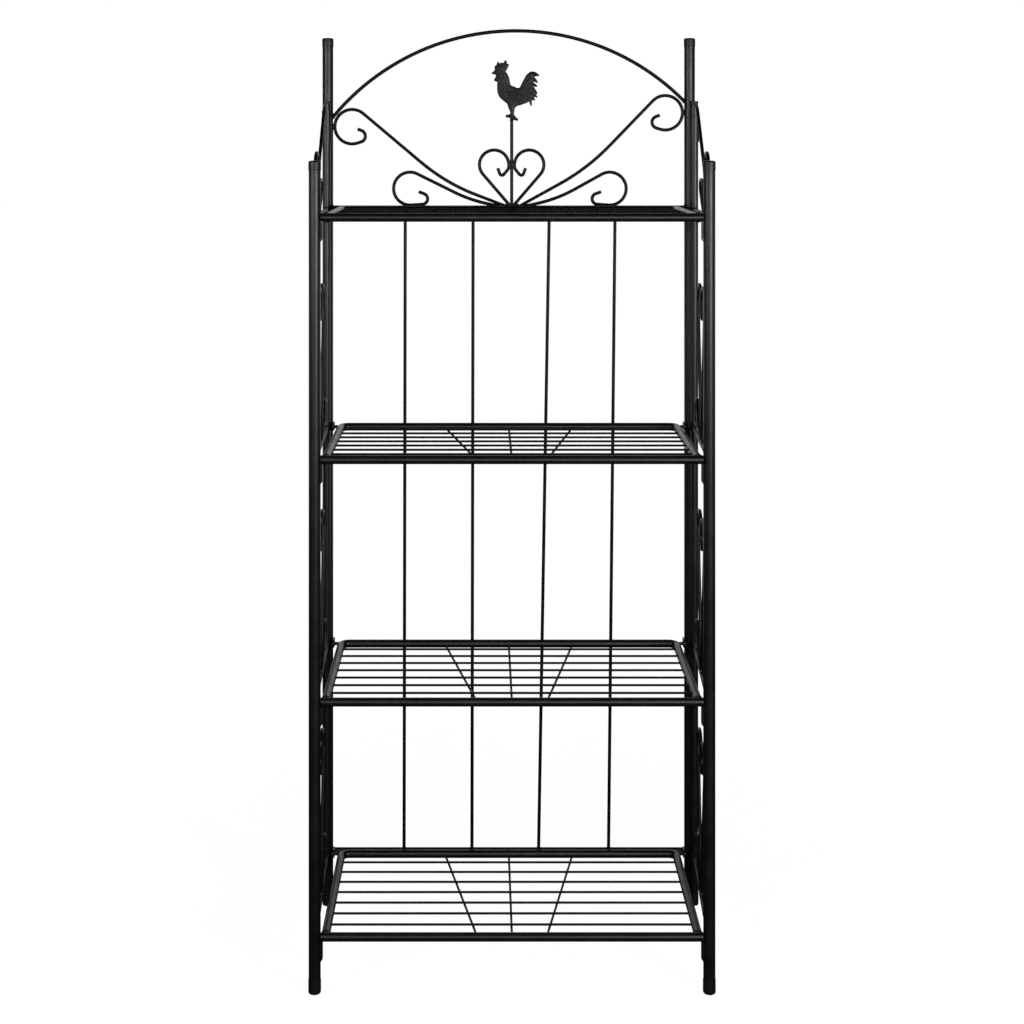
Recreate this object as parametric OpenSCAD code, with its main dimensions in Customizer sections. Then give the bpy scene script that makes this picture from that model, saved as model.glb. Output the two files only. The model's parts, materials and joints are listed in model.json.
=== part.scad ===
// Folding plant rack: four wire shelves that hinge up against a tall back panel with a scrollwork crest,
// between two scrollwork side panels that swing on the back posts.
// Millimetres, +Z up, the front towards -Y, the origin under the middle of the four posts.

/* [Posts] */
// Outside diameter of the four posts
post_d = 18; // [12:0.5:20]
// Wall of the posts, stiles and shelf rails
tube_wall = 1; // [0.6:0.1:2]
// Distance between the middles of the two front posts
front_spread = 588; // [500:1:640]
// How much further apart the middles of the two back posts are
back_extra = 17; // [12:1:60]
// How far the front posts reach above the top shelf, with their caps
front_post_rise = 85; // [70:1:120]
// How far the back posts reach above the top shelf, with their caps
back_post_rise = 287; // [250:1:340]
// Height of a plastic end cap
cap_h = 15; // [10:1:25]
// Thickness of the top of a cap
cap_top = 2; // [1:0.5:4]
// How far a cap or foot stands out round its tube
cap_wall = 0.5; // [0.3:0.1:1.5]
// Rounding of the edge of a cap
cap_round = 3; // [1:0.5:5]
// Height of a plastic foot
foot_h = 20; // [12:1:35]
// Thickness of the sole of a foot
foot_sole = 3; // [2:0.5:5]
// Chamfer round the bottom of a foot
foot_chamfer = 2.5; // [1:0.5:5]

/* [Shelves] */
// Height of the lowest shelf above the floor, to the middle of its rails
ground_gap = 83; // [60:1:120]
// Distance from the lowest shelf to the next one
low_bay = 350; // [300:1:380]
// Distance between the other shelves
bay = 361; // [300:1:380]
// Depth of a shelf, between the middles of its front and back rails
shelf_depth = 280; // [220:1:320]
// Outside diameter of the shelf rails
rail_d = 13; // [10:0.1:14]
// Gap between the end of a front rail and its post
rail_gap = 0.3; // [0.3:0.1:2]
// Bend radius of a shelf's back corners
corner_r = 13; // [10:0.5:20]
// Thickness of the shelf wires
wire_d = 3.5; // [2:0.5:4]
// Number of long wires in a shelf
wire_count = 7; // [4:1:10]
// How far crossing wires are sunk into each other by their spot welds
wire_sink = 0.4; // [0.2:0.1:0.8]
// Distance of the slanting wires from the middle at the back rail
fan_back = 106; // [60:1:150]
// Distance of the slanting wires from the middle at the front rail
fan_front = 51; // [20:1:100]

/* [Shelf hinges] */
// Diameter of the shelf pivot pins
pin_d = 5.5; // [4:0.5:7]
// Distance from the shelf pivots forward of the back posts' middles
pivot_gap = 13; // [12.5:0.1:14]
// Thickness of a pivot ear
ear_t = 3.6; // [2.5:0.1:4.5]
// Radius of the round end of a pivot ear
ear_r = 6.5; // [5:0.5:8]
// How deep an ear is let into its post for the weld
ear_bite = 0.6; // [0.3:0.1:1]
// How far a pin stands out past its ear's weld
pin_proud = 0.4; // [0.2:0.1:1]
// Radial clearance of the pins and stiles in their bores
run_gap = 0.05; // [0.02:0.01:0.1]
// How far a front bracket stands in from its post
bracket_reach = 3; // [2:0.5:8]
// Height of a front bracket
bracket_h = 36; // [20:1:45]
// Width of a front bracket, front to back
bracket_w = 6; // [4:0.5:10]
// Gap between a front bracket and the rail that it carries
rest_gap = 0.3; // [0.2:0.1:1]

/* [Back panel] */
// Diameter of the top bar
top_bar_d = 10; // [8:0.5:12]
// Height of the middle of the top bar above the middle of the top shelf
top_bar_rise = 2; // [0:0.5:12]
// Diameter of the bottom bar
bottom_bar_d = 10; // [8:0.5:12]
// Diameter of the four upright rods
rod_d = 5.5; // [4:0.5:8]
// Places of the upright rods along the top bar, from the middle
rod_tops = [-173, -59.5, 68, 178]; // [-250:0.5:250]
// Places of the upright rods along the bottom bar, from the middle
rod_feet = [-175, -61.5, 50, 167]; // [-250:0.5:250]

/* [Crest] */
// Thickness of the arch
arch_d = 6; // [5:0.5:8]
// Height of the top of the arch above the top shelf, to its outer edge
arch_rise = 302; // [285:0.5:345]
// Place of the top of the arch, to the right of the middle
arch_mid = 12; // [0:1:16]
// Heights at which the arch meets the left and right posts, above the top shelf
arch_end_rise = [144, 172]; // [130:1:200]
// Thickness of the scrollwork wire
scroll_d = 5.5; // [4:0.5:7]
// Place of the stem, heart and rooster, to the right of the middle
crest_mid = 5; // [0:0.5:8]
// Radius of the large turn of a long scroll
long_eye_r = 28.8; // [20:0.1:32]
// Gaps between the arch and the large turns of the left and right long scrolls
eye_gap = [0.3, 1.5]; // [0.1:0.1:20]
// Radius of the left long scroll's slow bend down to the stem
left_sweep_r = 320; // [150:5:500]
// Radius of the right long scroll's slow bend down to the stem
right_sweep_r = 355; // [300:5:600]
// Straight length at the foot of the left long scroll
left_foot_run = 53; // [20:1:100]
// Straight length at the foot of the right long scroll
right_foot_run = 77; // [20:1:100]
// Distances of the left and right long scrolls' feet from the stem
long_foot_out = [10.5, 13.5]; // [5:0.5:15]
// How far the long scrolls' feet run into the top bar
long_foot_sink = 1; // [0.5:0.5:3]
// Radius of the large turn of a low scroll
low_eye_r = 27.5; // [18:0.5:30]
// Distances of the middles of the left and right low scrolls' turns from the back posts
low_eye_in = [137.5, 133.5]; // [110:1:180]
// Radius of a low scroll's slow bend down to the top bar
low_sweep_r = 230; // [150:5:400]
// Gap under a low scroll's large turn
low_eye_lift = 0.5; // [0:0.5:5]
// Distance of the low scrolls' feet from the stem
low_foot_out = 21; // [15:0.5:40]
// How far the low scrolls' feet run into the top bar
low_foot_sink = 1.5; // [0.5:0.5:3]
// Straight length at the foot of a low scroll
low_foot_run = 23; // [5:1:60]
// Radius of the lobes of the heart
lobe_r = 24.5; // [18:0.5:28]
// Height of the middles of the heart's lobes above the top bar
lobe_rise = 68; // [50:1:90]
// How deep the heart's lobes are let into the stem for the weld
lobe_bite = 0.6; // [0.2:0.1:1]
// Distance of the heart's two feet from the stem's middle
heart_foot_out = 1.5; // [1:0.5:6]
// How far the heart's feet run into the top bar
heart_foot_sink = 2; // [0.5:0.5:4]
// Height of the stem above the top bar
stem_h = 146; // [120:1:160]
// Thickness of the rooster plate
rooster_t = 4; // [3:0.5:6]
// How far the rooster's wing and tail stand out from the plate
rooster_relief = 1.2; // [0.5:0.1:2]

/* [Side panels] */
// Diameter of a side panel's rear stile
stile_d = 12.7; // [10:0.1:14]
// How far the rear stiles reach above the top shelf
stile_rise = 181; // [155:1:210]
// How far the left stile's middle stands further out than the back post's middle
left_stile_out = 0.5; // [0:0.5:8]
// How far the right stile's middle stands further out than the back post's middle
right_stile_out = 6; // [0:0.5:8]
// Diameter of the crossbars
crossbar_d = 8; // [6:0.5:10]
// Height of a hinge sleeve
sleeve_h = 52; // [30:1:80]
// Wall of a hinge sleeve
sleeve_wall = 1.6; // [1:0.1:2.5]
// How far the top hinge sleeve ends below the stile's top
sleeve_drop = 16; // [14:1:30]
// Height of the bottom hinge sleeve's lower end above the lowest shelf
low_sleeve_rise = 67; // [30:1:160]
// Radius of the top scroll's large turn
top_eye_r = 30; // [25:1:40]
// How far the middle of the top scroll's turn is below the top of the front post
top_eye_drop = 19; // [17:1:35]
// How far the top scroll starts below the stile's top
top_start_drop = 5; // [3:1:10]
// Radius of the top scroll's bend beside the stile
top_shoulder_r = 80; // [60:5:120]
// How far the middle of that bend is in front of the stile
top_shoulder_run = 25; // [10:1:50]
// How far the top of that bend is below the stile's top
top_shoulder_drop = 7; // [4:1:15]
// Radius of the top scroll's bend above its large turn
top_sweep_r = 60; // [40:5:100]
// Distance of the middle of that bend behind the front post
top_sweep_back = 128; // [100:1:150]
// Height of the middle of that bend above the top crossbar
top_sweep_rise = 29; // [15:1:45]
// Radius of the tight turn at the back of the leaf on the top crossbar
leaf_r = 10; // [6:0.5:14]
// Distance of the middle of that turn behind the front post
leaf_back = 146; // [100:1:160]
// Height of the middle of that turn above the top crossbar
leaf_rise = 43; // [30:1:60]
// Radius of a side heart's lobes
side_lobe_r = 29; // [20:1:34]
// Height of the middles of a side heart's lobes above its crossbar
side_lobe_rise = 217; // [180:1:240]
// Gap between the two lobes of a side heart
lobe_gap = 0.4; // [0.3:0.1:2]
// Radius of the low side scrolls
side_eye_r = 21; // [14:1:24]
// Radius of the low side scrolls' slow bends
side_sweep_r = 120; // [80:5:200]
// Distance of the middle of a low side scroll from the middle of the panel
side_eye_back = 86; // [60:1:95]
// Gap between a low side scroll's large turn and its crossbar
side_eye_lift = 6; // [1:0.5:15]
// Distance of the low side scrolls' feet from the middle of the panel
side_foot_out = 6; // [4:0.5:15]
// Height of the low side scrolls' feet above the middle of the crossbar
side_foot_rise = 1; // [0:0.5:3]
// Distance of a side heart's two feet from the middle of the panel
side_heart_foot = 2; // [1:0.5:5]

/* [Hidden] */
PANEL_PIECES = ["front_post", "rear_stile", "post_caps", "post_feet", "crossbars", "top_scroll",
                "top_leaf", "hearts", "low_scrolls", "shelf_brackets"];
SHELF_PIECES = ["front_rail", "back_rail", "side_rails", "wires", "pivot_pins"];

satin_black = [0.10, 0.10, 0.105];
worn_black = [0.16, 0.16, 0.165];
plastic_black = [0.05, 0.05, 0.055];

tube_fn = 64;
wire_fn = 40;
// Bends are drawn this much thicker, and run this far into the straights beside them
bend_proud = 0.06;
bend_lap = 0.3;

back_spread = front_spread + back_extra;
post_y = (shelf_depth + pivot_gap) / 2;
pivot_y = post_y - pivot_gap;
levels = [ground_gap + low_bay + 2 * bay, ground_gap + low_bay + bay, ground_gap + low_bay, ground_gap];
front_post_h = levels[0] + front_post_rise;
back_post_h = levels[0] + back_post_rise;
stile_h = levels[0] + stile_rise;

rail_half = front_spread / 2 - post_d / 2 - rail_gap;
side_rail_x = rail_half - rail_d / 2;

sleeve_bore = stile_d + 2 * run_gap;
sleeve_d = sleeve_bore + 2 * sleeve_wall;
function stile_out(side) = side < 0 ? left_stile_out : right_stile_out;
function stile_x(side) = side * (back_spread / 2 + stile_out(side));
function stile_y(side) = post_y - sqrt(pow((post_d + sleeve_d) / 2, 2) - pow(stile_out(side), 2));
sleeve_tops = [stile_h - sleeve_drop, levels[3] + low_sleeve_rise + sleeve_h];

ear_out_x = back_spread / 2 - post_d / 2 + ear_bite;
ear_in_x = ear_out_x - ear_t;
pin_end_x = ear_out_x + pin_proud;

top_bar_z = levels[0] + top_bar_rise;
crest_z = top_bar_z + top_bar_d / 2;
bottom_bar_z = levels[3];

function panel_run(side) = [stile_x(side) - side * front_spread / 2, stile_y(side) + post_y];
function panel_w(side) = norm(panel_run(side));

// A wire is a list of bends [x, y, r] in its own plane: the middle and radius of each bend, with r > 0
// where the wire turns left and r < 0 where it turns right. Its two ends are bends of no radius.
function heading(a, b) =
    atan2(b.y - a.y, b.x - a.x) - asin(max(-1, min(1, (b.z - a.z) / norm([b.x - a.x, b.y - a.y]))));
function touch(bend, way) = [bend.x + bend.z * sin(way), bend.y - bend.z * cos(way)];
function flipped(bends) = [for (b = bends) [-b.x, b.y, -b.z]];
function shifted(bends, dx, dy) = [for (b = bends) [b.x + dx, b.y + dy, b.z]];

module wire_straight(from, to, d) {
    run = to - from;
    if (norm(run) > 2 * bend_lap)
        translate([from.x, from.y, 0])
            rotate([0, 90, atan2(run.y, run.x)])
                cylinder(d = d, h = norm(run), $fn = wire_fn);
}

module wire_bend(bend, way_in, way_out, d) {
    r = abs(bend.z);
    turn = ((bend.z > 0 ? way_out - way_in : way_in - way_out) + 720) % 360;
    first = bend.z > 0 ? way_in - 90 : way_out + 90;
    lap = bend_lap / r * 180 / PI;
    translate([bend.x, bend.y, 0])
        rotate([0, 0, first - lap])
            rotate_extrude(angle = turn + 2 * lap, $fn = 96)
                translate([r, 0]) circle(d = d, $fn = wire_fn);
}

module bent_wire(bends, d) {
    last = len(bends) - 1;
    ways = [for (i = [0:last - 1]) heading(bends[i], bends[i + 1])];
    for (i = [0:last - 1])
        wire_straight(touch(bends[i], ways[i]), touch(bends[i + 1], ways[i]), d);
    for (i = [1:last - 1])
        wire_bend(bends[i], ways[i - 1], ways[i], d + bend_proud * (1 + i % 2));
}

// The plane of the back panel: x to the right, y up
module in_back() {
    translate([0, post_y, 0]) rotate([90, 0, 0]) children();
}

// The plane of a side panel: x from the front post's middle to the rear stile's, y up
module in_panel(side) {
    translate([side * front_spread / 2, -post_y, 0])
        rotate([90, 0, atan2(panel_run(side).y, panel_run(side).x)])
            children();
}

module upright(x, y, z0, z1, d) {
    translate([x, y, z0]) cylinder(d = d, h = z1 - z0, $fn = tube_fn);
}

// What is bored out of an upright tube
module upright_bore(x, y, z0, z1, d) {
    upright(x, y, z0 - 1, z1 + 1, d - 2 * tube_wall);
}

module across(x0, x1, y, z, d) {
    translate([x0, y, z]) rotate([0, 90, 0]) cylinder(d = d, h = x1 - x0, $fn = tube_fn);
}

// A moulded cap that slips over the top of a tube
module tube_cap(x, y, top, d) {
    r = d / 2 + cap_wall;
    translate([x, y, top - cap_h])
        rotate_extrude($fn = tube_fn)
            difference() {
                union() {
                    square([r, cap_h - cap_round]);
                    square([r - cap_round, cap_h]);
                    translate([r - cap_round, cap_h - cap_round]) circle(r = cap_round, $fn = 48);
                }
                translate([-r, -r]) square([r, 2 * r + cap_h]);
                square([d / 2, cap_h - cap_top]);
            }
}

// A moulded foot that slips over the bottom of a tube
module tube_foot(x, y, d) {
    r = d / 2 + cap_wall;
    translate([x, y, 0])
        rotate_extrude($fn = tube_fn)
            polygon([[0, 0], [r - foot_chamfer, 0], [r, foot_chamfer], [r, foot_h], [d / 2, foot_h],
                     [d / 2, foot_sole], [0, foot_sole]]);
}

module back_post(side) {
    upright(side * back_spread / 2, post_y, foot_sole, back_post_h - cap_top, post_d);
}

module back_post_tube(side) {
    color(satin_black)
        difference() {
            back_post(side);
            upright_bore(side * back_spread / 2, post_y, foot_sole, back_post_h - cap_top, post_d);
        }
}

module back_post_left() { back_post_tube(-1); }
module back_post_right() { back_post_tube(1); }

module back_post_caps() {
    color(plastic_black)
        for (side = [-1, 1])
            tube_cap(side * back_spread / 2, post_y, back_post_h, post_d);
}

module back_post_feet() {
    color(plastic_black)
        for (side = [-1, 1])
            tube_foot(side * back_spread / 2, post_y, post_d);
}

// A bar of the back panel, coped to both posts
module post_to_post(z, d) {
    difference() {
        across(-back_spread / 2, back_spread / 2, post_y, z, d);
        for (side = [-1, 1])
            back_post(side);
    }
}

module top_bar() { color(satin_black) post_to_post(top_bar_z, top_bar_d); }
module bottom_bar() { color(satin_black) post_to_post(bottom_bar_z, bottom_bar_d); }

// Four upright rods from bar to bar, coped to both
module back_rods() {
    color(satin_black)
        difference() {
            in_back()
                for (i = [0:len(rod_tops) - 1])
                    wire_straight([rod_feet[i], bottom_bar_z], [rod_tops[i], top_bar_z], rod_d);
            post_to_post(top_bar_z, top_bar_d);
            post_to_post(bottom_bar_z, bottom_bar_d);
        }
}

// Each half of the arch is bent to run from its top to its end at the post
arch_z = levels[0] + arch_rise - arch_d / 2;
function arch_reach(side) = back_spread / 2 - side * arch_mid;
function arch_fall(side) = arch_z - levels[0] - arch_end_rise[side < 0 ? 0 : 1];
function arch_r(side) = (pow(arch_reach(side), 2) + pow(arch_fall(side), 2)) / (2 * arch_fall(side));

module crest_arch() {
    color(satin_black)
        difference() {
            in_back() {
                arch_half(-1, arch_d + bend_proud);
                arch_half(1, arch_d);
            }
            for (side = [-1, 1])
                back_post(side);
        }
}

// One half of the arch, from the top out to the middle of its post
module arch_half(side, d) {
    r = arch_r(side);
    turn = asin(arch_reach(side) / r);
    lap = side < 0 ? bend_lap / r * 180 / PI : 0;
    translate([arch_mid, arch_z - r, 0])
        rotate([0, 0, side < 0 ? 90 - lap : 90 - turn])
            rotate_extrude(angle = turn + lap, $fn = 180)
                translate([r, 0]) circle(d = d, $fn = wire_fn);
}

// The bends of a hook, given in radii of the turn that it grows out of: places from the middle of the
// turn, and radii. r is the turn's own radius, with its sign.
function hooked(eye, r, hook) = [for (b = hook) [eye.x + b.x * abs(r), eye.y + b.y * abs(r), b.z * r]];
function backwards(bends) = [for (i = [len(bends) - 1:-1:0]) [bends[i].x, bends[i].y, -bends[i].z]];
long_hook = [[0.32, -0.14, 0], [0.42, -0.55, 0.35]];
low_hook = [[0.52, -0.19, 0], [0.74, -0.62, 0.33]];
heart_hook = [[0.25, -0.23, 0], [0.54, -0.55, 0.165], [0.52, -0.07, 0.49]];

// A scroll starts at its tip, goes round its hook and large turn, and sweeps down to its foot on the
// right. The slow bend ends with the given way, a straight run before the foot.
function scroll_bends(eye, eye_r, hook, foot, way, sweep_r, run) = concat(
    hooked(eye, -eye_r, hook),
    [[eye.x, eye.y, -eye_r],
     [foot.x - run * cos(way) - sweep_r * sin(way), foot.y - run * sin(way) + sweep_r * cos(way), sweep_r],
     [foot.x, foot.y, 0]]
);

// The turn of a long scroll sits in the corner between its post and the arch
long_eye_x = back_spread / 2 - post_d / 2 - scroll_d / 2 - long_eye_r;
function long_eye_z(side, gap) =
    arch_z - arch_r(side) + sqrt(pow(arch_r(side) - (arch_d + scroll_d) / 2 - gap - long_eye_r, 2)
                                 - pow(long_eye_x - side * arch_mid, 2));
function long_scroll_bends(eye_z, mid, out, way, sweep_r, run) =
    scroll_bends([-long_eye_x, eye_z], long_eye_r, long_hook,
                 [mid - out, crest_z - long_foot_sink], way, sweep_r, run);
left_long = long_scroll_bends(long_eye_z(-1, eye_gap[0]), crest_mid, long_foot_out[0], -21,
                              left_sweep_r, left_foot_run);
right_long = flipped(long_scroll_bends(long_eye_z(1, eye_gap[1]), -crest_mid, long_foot_out[1], -29,
                                       right_sweep_r, right_foot_run));
function low_scroll_bends(eye_x) =
    scroll_bends([-eye_x, low_eye_r + low_eye_lift], low_eye_r, low_hook,
                 [-low_foot_out, -low_foot_sink], -12.5, low_sweep_r, low_foot_run);
left_low = shifted(low_scroll_bends(back_spread / 2 + crest_mid - low_eye_in[0]), crest_mid, crest_z);
right_low = shifted(flipped(low_scroll_bends(back_spread / 2 - crest_mid - low_eye_in[1])),
                    crest_mid, crest_z);

module long_scroll(bends) {
    difference() {
        in_back() bent_wire(bends, scroll_d);
        post_to_post(top_bar_z, top_bar_d);
        crest_heart();
    }
}

module long_scroll_left() { color(satin_black) long_scroll(left_long); }
module long_scroll_right() { color(satin_black) long_scroll(right_long); }

module low_scroll(bends, neighbour) {
    difference() {
        in_back() bent_wire(bends, scroll_d);
        post_to_post(top_bar_z, top_bar_d);
        in_back() bent_wire(neighbour, scroll_d);
    }
}

module low_scroll_left() { color(satin_black) low_scroll(left_low, left_long); }
module low_scroll_right() { color(satin_black) low_scroll(right_low, right_long); }

// The left side of a heart: from its tip round the hook, up the middle, over the lobe and down the leg
function heart_bends(lobe, r, foot) =
    concat(hooked(lobe, r, heart_hook), [[lobe.x, lobe.y, r], [foot.x, foot.y, 0]]);

crest_lobe = heart_bends([-lobe_r - scroll_d + lobe_bite, lobe_rise], lobe_r,
                         [-heart_foot_out, -heart_foot_sink]);

module stem() {
    upright(crest_mid, post_y, top_bar_z, crest_z + stem_h, scroll_d);
}

module crest_stem() {
    color(satin_black)
        difference() {
            stem();
            post_to_post(top_bar_z, top_bar_d);
        }
}

// Both sides of the heart, coped to the stem and the bar
module crest_heart() {
    color(satin_black)
        difference() {
            in_back() {
                bent_wire(shifted(crest_lobe, crest_mid, crest_z), scroll_d);
                bent_wire(shifted(flipped(crest_lobe), crest_mid, crest_z), scroll_d);
            }
            stem();
            post_to_post(top_bar_z, top_bar_d);
        }
}

// The rooster faces left. Its outline is given from the point where its feet meet the stem.
rooster_outline = [
    [-10, 4], [-8, 0], [0, -2], [10, -4], [5, 6], [5, 15], [8, 20], [17, 22], [27, 27], [29, 28],
    [33, 21], [38, 29], [43, 33], [44, 42], [38, 50], [43, 53], [42, 59], [38, 67], [46, 71],
    [37, 76], [28, 73], [21, 63], [14, 52], [9, 50], [2, 53], [-2, 58], [-4, 66], [-8, 75],
    [-10, 78], [-5, 82], [-4, 89], [-9, 95], [-12, 89], [-16, 93], [-23, 93], [-28, 87],
    [-28, 80], [-34, 75], [-28, 73], [-29, 64], [-24, 57], [-24, 46], [-20, 36], [-15, 30],
    [-8, 26], [-3, 18], [-3, 10]
];
rooster_wing = [[-12, 44], [-4, 52], [8, 46], [20, 40], [30, 34], [18, 30], [4, 29], [-8, 33]];
rooster_tail = [[18, 50], [30, 69], [38, 70], [34, 62], [39, 56], [32, 48], [38, 42], [28, 36]];
rooster_hackle = [[-24, 58], [-8, 70], [-6, 60], [-2, 54], [-10, 46], [-20, 44]];

module rooster() {
    color(worn_black)
        difference() {
            in_back()
                translate([crest_mid - 1.5, crest_z + stem_h, 0]) {
                    linear_extrude(rooster_t, center = true) polygon(rooster_outline);
                    for (shape = [rooster_wing, rooster_tail, rooster_hackle])
                        linear_extrude(rooster_t + 2 * rooster_relief, center = true) polygon(shape);
                }
            stem();
        }
}

// Short tubes welded to the back posts, in which the side panels' stiles turn
module hinge_sleeves() {
    color(satin_black)
        for (side = [-1, 1], top = sleeve_tops)
            difference() {
                upright(stile_x(side), stile_y(side), top - sleeve_h, top, sleeve_d);
                upright(stile_x(side), stile_y(side), top - sleeve_h - 1, top + 1, sleeve_bore);
                back_post(side);
            }
}

// Small plates welded to the back posts, each with a bore for a shelf's pivot pin. The top and bottom ones
// are coped to the bars too.
module shelf_pivot_ears() {
    color(satin_black)
        for (side = [-1, 1], z = levels)
            difference() {
                translate([side > 0 ? ear_in_x : -ear_out_x, 0, 0])
                    rotate([90, 0, 90])
                        linear_extrude(ear_t) {
                            translate([pivot_y, z]) circle(r = ear_r, $fn = 48);
                            translate([pivot_y, z - ear_r]) square([pivot_gap, 2 * ear_r]);
                        }
                across(side > 0 ? ear_in_x - 1 : -ear_out_x - 1, side > 0 ? ear_out_x + 1 : 1 - ear_in_x,
                       pivot_y, z, pin_d + 2 * run_gap);
                back_post(side);
                post_to_post(top_bar_z, top_bar_d);
                post_to_post(bottom_bar_z, bottom_bar_d);
            }
}

module front_post(side) {
    upright(side * front_spread / 2, -post_y, foot_sole, front_post_h - cap_top, post_d);
}

module rear_stile(side) {
    upright(stile_x(side), stile_y(side), foot_sole, stile_h - cap_top, stile_d);
}

module front_post_tube(side) {
    color(satin_black)
        difference() {
            front_post(side);
            upright_bore(side * front_spread / 2, -post_y, foot_sole, front_post_h - cap_top, post_d);
        }
}

module rear_stile_tube(side) {
    color(satin_black)
        difference() {
            rear_stile(side);
            upright_bore(stile_x(side), stile_y(side), foot_sole, stile_h - cap_top, stile_d);
        }
}

module post_caps(side) {
    color(plastic_black) {
        tube_cap(side * front_spread / 2, -post_y, front_post_h, post_d);
        translate([stile_x(side), stile_y(side), stile_h - cap_top])
            cylinder(d = stile_d, h = cap_top, $fn = tube_fn);
    }
}

module post_feet(side) {
    color(plastic_black) {
        tube_foot(side * front_spread / 2, -post_y, post_d);
        tube_foot(stile_x(side), stile_y(side), stile_d);
    }
}

// One crossbar a shelf, coped to the front post and the stile
module crossbars(side) {
    difference() {
        in_panel(side)
            for (z = levels)
                wire_straight([0, z], [panel_w(side), z], crossbar_d);
        front_post(side);
        rear_stile(side);
    }
}

// From the top of the stile, forward and down to a large turn behind the front post
top_eye = [post_d / 2 + scroll_d / 2 + top_eye_r, front_post_h - top_eye_drop];
top_hook = [[-0.05, 0.15, 0], [0.3, 0.47, 0.46]];
function top_bends(side) = concat(
    [[panel_w(side), stile_h - top_start_drop, 0],
     [panel_w(side) - top_shoulder_run, stile_h - top_shoulder_drop - top_shoulder_r, top_shoulder_r],
     [top_sweep_back, levels[0] + top_sweep_rise, top_sweep_r],
     [top_eye.x, top_eye.y, -top_eye_r]],
    backwards(hooked(top_eye, top_eye_r, top_hook))
);

module top_scroll(side) {
    difference() {
        in_panel(side) bent_wire(top_bends(side), scroll_d);
        rear_stile(side);
        front_post(side);
    }
}

base_z = crossbar_d / 2 + scroll_d / 2;
// From the top crossbar up to the tight turn, then forward and down, in radii of the tight turn
leaf_bends = [
    [leaf_back - 5.2 * leaf_r, levels[0], 0],
    [leaf_back, levels[0] + leaf_rise, leaf_r],
    [leaf_back - 3 * leaf_r, levels[0] + leaf_rise - leaf_r, 2 * leaf_r],
    [leaf_back - 4.9 * leaf_r, levels[0] + leaf_rise - 1.9 * leaf_r, 0]
];

module top_leaf(side) {
    difference() {
        in_panel(side) bent_wire(leaf_bends, scroll_d);
        crossbars(side);
    }
}

side_heart = heart_bends([-side_lobe_r - (scroll_d + lobe_gap) / 2, side_lobe_rise], side_lobe_r,
                         [-side_heart_foot, 0]);
side_low = scroll_bends([-side_eye_back, base_z + side_eye_r + side_eye_lift], side_eye_r, low_hook,
                        [-side_foot_out, side_foot_rise], -12, side_sweep_r, 0);

// A heart of two wires in each of the three bays, standing on the crossbar
module hearts(side) {
    difference() {
        in_panel(side)
            for (z = [levels[1], levels[2], levels[3]], bends = [side_heart, flipped(side_heart)])
                bent_wire(shifted(bends, panel_w(side) / 2, z), scroll_d);
        crossbars(side);
    }
}

// A low scroll on each side of each heart
module low_scrolls(side) {
    difference() {
        in_panel(side)
            for (z = [levels[1], levels[2], levels[3]], bends = [side_low, flipped(side_low)])
                bent_wire(shifted(bends, panel_w(side) / 2, z), scroll_d);
        hearts(side);
        crossbars(side);
    }
}

// Tapered brackets inside the front posts that carry the shelves' front rails
module shelf_brackets(side) {
    difference() {
        for (z = levels)
            translate([side * front_spread / 2, -post_y + bracket_w / 2, z - rail_d / 2 - rest_gap])
                rotate([90, 0, 0])
                    linear_extrude(bracket_w)
                        polygon([[-side * post_d / 4, 0],
                                 [-side * (post_d / 2 + bracket_reach), 0],
                                 [-side * (post_d / 2 + bracket_reach), -0.7 * bracket_h],
                                 [-side * post_d / 4, -bracket_h]]);
        front_post(side);
    }
}

module left_front_post() { front_post_tube(-1); }
module left_rear_stile() { rear_stile_tube(-1); }
module left_post_caps() { post_caps(-1); }
module left_post_feet() { post_feet(-1); }
module left_crossbars() { color(satin_black) crossbars(-1); }
module left_top_scroll() { color(satin_black) top_scroll(-1); }
module left_top_leaf() { color(satin_black) top_leaf(-1); }
module left_hearts() { color(satin_black) hearts(-1); }
module left_low_scrolls() { color(satin_black) low_scrolls(-1); }
module left_shelf_brackets() { color(satin_black) shelf_brackets(-1); }
module right_front_post() { front_post_tube(1); }
module right_rear_stile() { rear_stile_tube(1); }
module right_post_caps() { post_caps(1); }
module right_post_feet() { post_feet(1); }
module right_crossbars() { color(satin_black) crossbars(1); }
module right_top_scroll() { color(satin_black) top_scroll(1); }
module right_top_leaf() { color(satin_black) top_leaf(1); }
module right_hearts() { color(satin_black) hearts(1); }
module right_low_scrolls() { color(satin_black) low_scrolls(1); }
module right_shelf_brackets() { color(satin_black) shelf_brackets(1); }

module front_rail(n, d, past = 0) {
    across(-rail_half - past, rail_half + past, -post_y, levels[n - 1], d);
}

// The back rail turns forward at both corners
module back_rail(n, d) {
    translate([0, pivot_y, levels[n - 1]]) {
        for (side = [-1, 1])
            translate([side * (side_rail_x - corner_r), -corner_r, 0])
                rotate([0, 0, side > 0 ? 0 : 90])
                    rotate_extrude(angle = 90, $fn = 96)
                        translate([corner_r, 0]) circle(d = d + bend_proud, $fn = tube_fn);
        half = side_rail_x - corner_r + bend_lap;
        translate([-half, 0, 0]) rotate([0, 90, 0]) cylinder(d = d, h = 2 * half, $fn = tube_fn);
    }
}

// From the corners forward to the middle of the front rail
module side_rails(n, d, past = 0) {
    for (side = [-1, 1])
        translate([side * side_rail_x, -post_y, levels[n - 1]])
            rotate([-90, 0, 0])
                cylinder(d = d, h = shelf_depth - corner_r + past, $fn = tube_fn);
}

rail_bore = rail_d - 2 * tube_wall;

module shelf_front_rail(n) {
    color(satin_black)
        difference() {
            front_rail(n, rail_d);
            front_rail(n, rail_bore, 1);
        }
}

module shelf_back_rail(n) {
    color(satin_black)
        difference() {
            back_rail(n, rail_d);
            back_rail(n, rail_bore);
        }
}

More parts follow.
